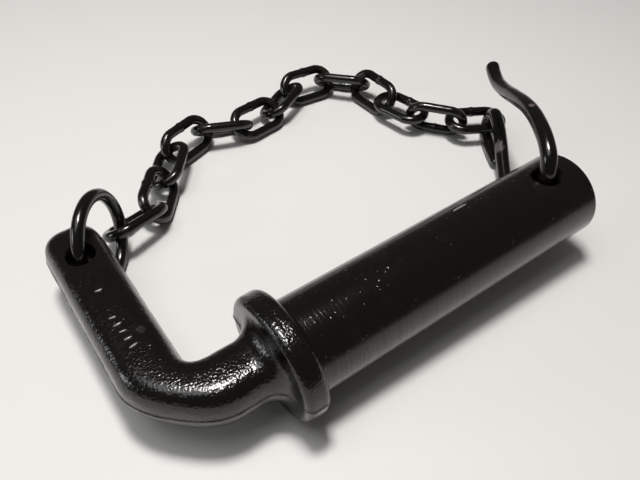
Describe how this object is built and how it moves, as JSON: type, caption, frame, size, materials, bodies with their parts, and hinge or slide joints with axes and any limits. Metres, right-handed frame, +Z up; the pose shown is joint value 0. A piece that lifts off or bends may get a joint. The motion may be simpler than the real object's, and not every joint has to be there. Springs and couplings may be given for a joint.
{
  "type": "pintle pin",
  "caption": "Bent-handle pintle pin of black painted steel with an oblong collar, a ring, a short welded chain and a one-piece wire retaining clip through its cross hole.",
  "frame": {"origin": "middle of the part's bounding box, on the surface it lies on", "axes": "+X along the shaft towards its tip, +Y from the shaft towards the chain, +Z up"},
  "size_m": [0.2481, 0.1942, 0.0589],
  "materials": {
    "forged_paint": "gloss black paint over a forged skin",
    "ring_paint": "gloss black paint",
    "chain_paint": "gloss black paint",
    "clip_paint": "gloss black paint"
  },
  "bodies": {
    "pin": {"pintle_pin": "forged_paint"},
    "ring": {"handle_ring": "ring_paint"},
    "link_01": {"chain_link_01": "chain_paint"},
    "link_02": {"chain_link_02": "chain_paint"},
    "link_03": {"chain_link_03": "chain_paint"},
    "link_04": {"chain_link_04": "chain_paint"},
    "link_05": {"chain_link_05": "chain_paint"},
    "link_06": {"chain_link_06": "chain_paint"},
    "link_07": {"chain_link_07": "chain_paint"},
    "link_08": {"chain_link_08": "chain_paint"},
    "link_09": {"chain_link_09": "chain_paint"},
    "link_10": {"chain_link_10": "chain_paint"},
    "link_11": {"chain_link_11": "chain_paint"},
    "link_12": {"chain_link_12": "chain_paint"},
    "link_13": {"chain_link_13": "chain_paint"},
    "clip": {"retaining_clip": "clip_paint"}
  },
  "joints": [
    {"name": "ring_swing", "type": "hinge", "parent": "pin", "child": "ring", "pos_m": [-0.11189, 0.0068, 0.0221], "axis": [0, 0, 1], "range_deg": [-3.5, 3.5]},
    {"name": "link_01_swing", "type": "hinge", "parent": "ring", "child": "link_01", "pos_m": [-0.08933, 0.03203, 0.01169], "axis": [0, 0, 1], "range_deg": [-3.8, 3.8]},
    {"name": "link_02_swing", "type": "hinge", "parent": "link_01", "child": "link_02", "pos_m": [-0.07127, 0.03969, 0.00901], "axis": [0, 0, 1], "range_deg": [-4.8, 4.8]},
    {"name": "link_03_swing", "type": "hinge", "parent": "link_02", "child": "link_03", "pos_m": [-0.05702, 0.05641, 0.00901], "axis": [0, 0, 1], "range_deg": [-5, 5]},
    {"name": "link_04_swing", "type": "hinge", "parent": "link_03", "child": "link_04", "pos_m": [-0.0428, 0.07316, 0.0094], "axis": [0, 0, 1], "range_deg": [-2.6, 2.6]},
    {"name": "link_05_swing", "type": "hinge", "parent": "link_04", "child": "link_05", "pos_m": [-0.0224, 0.08064, 0.0094], "axis": [0, 0, 1], "range_deg": [-1.3, 1.3]},
    {"name": "link_06_swing", "type": "hinge", "parent": "link_05", "child": "link_06", "pos_m": [-0.00101, 0.07607, 0.00798], "axis": [0, 0, 1], "range_deg": [-5, 5]},
    {"name": "link_07_swing", "type": "hinge", "parent": "link_06", "child": "link_07", "pos_m": [0.02066, 0.0795, 0.00723], "axis": [0, 0, 1], "range_deg": [-3.8, 3.8]},
    {"name": "link_08_swing", "type": "hinge", "parent": "link_07", "child": "link_08", "pos_m": [0.04071, 0.08842, 0.00847], "axis": [0, 0, 1], "range_deg": [-1.9, 1.9]},
    {"name": "link_09_swing", "type": "hinge", "parent": "link_08", "child": "link_09", "pos_m": [0.06226, 0.08621, 0.00847], "axis": [0, 0, 1], "range_deg": [-4.8, 4.8]},
    {"name": "link_10_swing", "type": "hinge", "parent": "link_09", "child": "link_10", "pos_m": [0.07688, 0.0703, 0.0094], "axis": [0, 0, 1], "range_deg": [-5, 5]},
    {"name": "link_11_swing", "type": "hinge", "parent": "link_10", "child": "link_11", "pos_m": [0.07977, 0.04857, 0.0094], "axis": [0, 0, 1], "range_deg": [-2.1, 2.1]},
    {"name": "link_12_swing", "type": "hinge", "parent": "link_11", "child": "link_12", "pos_m": [0.08449, 0.0271, 0.01045], "axis": [0, 0, 1], "range_deg": [-2.5, 2.5]},
    {"name": "link_13_swing", "type": "hinge", "parent": "link_12", "child": "link_13", "pos_m": [0.09821, 0.01005, 0.01045], "axis": [0, 0, 1], "range_deg": [-5, 5]},
    {"name": "clip_swivel", "type": "hinge", "parent": "pin", "child": "clip", "pos_m": [0.06286, -0.0722, 0.02642], "axis": [0, 0, 1], "range_deg": [-0.3, 0.3]}
  ],
  "couplings": [
    {"joint": "ring_swing", "follows": "link_03_swing", "ratio": 0.68219},
    {"joint": "link_01_swing", "follows": "link_03_swing", "ratio": -0.74544},
    {"joint": "link_02_swing", "follows": "link_03_swing", "ratio": -0.93676},
    {"joint": "link_04_swing", "follows": "link_06_swing", "ratio": -0.50032},
    {"joint": "link_05_swing", "follows": "link_06_swing", "ratio": 0.23427},
    {"joint": "link_07_swing", "follows": "link_06_swing", "ratio": -0.73396},
    {"joint": "link_08_swing", "follows": "link_10_swing", "ratio": 0.35175},
    {"joint": "link_09_swing", "follows": "link_10_swing", "ratio": -0.94972},
    {"joint": "link_11_swing", "follows": "link_10_swing", "ratio": -0.40203},
    {"joint": "link_12_swing", "follows": "link_13_swing", "ratio": -0.47195},
    {"joint": "clip_swivel", "follows": "link_13_swing", "ratio": 0.04309}
  ]
}
